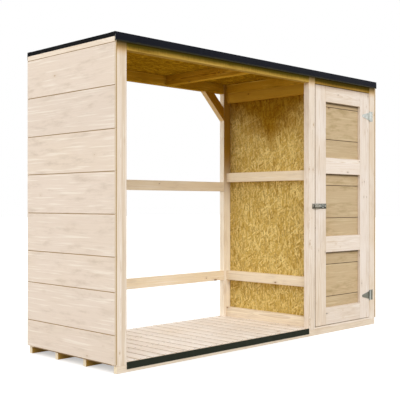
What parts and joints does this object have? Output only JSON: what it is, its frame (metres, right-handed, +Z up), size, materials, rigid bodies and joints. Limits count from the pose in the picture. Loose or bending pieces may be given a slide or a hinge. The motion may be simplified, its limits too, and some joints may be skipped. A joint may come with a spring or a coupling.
{
  "type": "log store",
  "caption": "Timber log store with a flat black-edged roof, an open log bay with a slatted floor and a framed cupboard door on strap hinges.",
  "frame": {"origin": "on the ground under the middle of the roof, at the centre of the footprint", "axes": "+Z up, +X to the right seen from the open front, +Y from the front to the back"},
  "size_m": [2.575, 0.887, 1.87],
  "materials": {
    "cladding_wood": "planed, bare",
    "trim_wood": "planed, bare",
    "post_wood": "planed, bare",
    "rail_wood": "planed, bare",
    "roof_wood": "planed, bare",
    "deck_wood": "planed, bare",
    "bearer_wood": "sawn, bare",
    "door_wood": "planed, bare",
    "door_board_wood": "planed, bare",
    "strand_board": "pressed strands, bare",
    "roof_felt": "mineral felt",
    "black_trim": "matt black",
    "edge_strip": "matt dark green black",
    "galvanised": "zinc plated"
  },
  "bodies": {
    "store": {"floor_bearers": "bearer_wood", "log_bay_deck": "deck_wood", "cupboard_floor": "deck_wood", "door_sill": "post_wood", "left_front_post": "post_wood", "left_back_post": "post_wood", "middle_front_post": "post_wood", "middle_back_post": "post_wood", "right_front_post": "post_wood", "right_back_post": "post_wood", "left_wall_rails": "rail_wood", "partition_rails": "rail_wood", "right_wall_rails": "rail_wood", "left_cladding": "cladding_wood", "right_cladding": "cladding_wood", "back_cladding": "cladding_wood", "wall_top_trims": "trim_wood", "back_rails": "rail_wood", "knee_braces": "rail_wood", "log_bay_header": "roof_wood", "door_header": "roof_wood", "back_headers": "roof_wood", "left_joist": "roof_wood", "middle_joist": "roof_wood", "partition_joist": "roof_wood", "right_joist": "roof_wood", "partition_board": "strand_board", "roof_board": "strand_board", "roof_felt": "roof_felt", "front_fascia": "black_trim", "back_fascia": "black_trim", "roof_side_trims": "black_trim", "floor_edge_strip": "edge_strip", "lower_hinge_plate": "galvanised", "upper_hinge_plate": "galvanised", "hasp_staple": "galvanised"},
    "door": {"door_left_stile": "door_wood", "door_right_stile": "door_wood", "door_rails": "door_wood", "door_boards": "door_board_wood", "lower_hinge_strap": "galvanised", "upper_hinge_strap": "galvanised", "hasp_base": "galvanised"},
    "hasp": {"hasp_flap": "galvanised"}
  },
  "joints": [
    {"name": "door_hinge", "type": "hinge", "parent": "store", "child": "door", "pos_m": [1.199, -0.434, 0], "axis": [0, 0, 1], "range_deg": [0, 170]},
    {"name": "hasp_hinge", "type": "hinge", "parent": "door", "child": "hasp", "pos_m": [0.5575, -0.4335, 0.912], "axis": [0, 0, 1], "range_deg": [0, 165]}
  ]
}
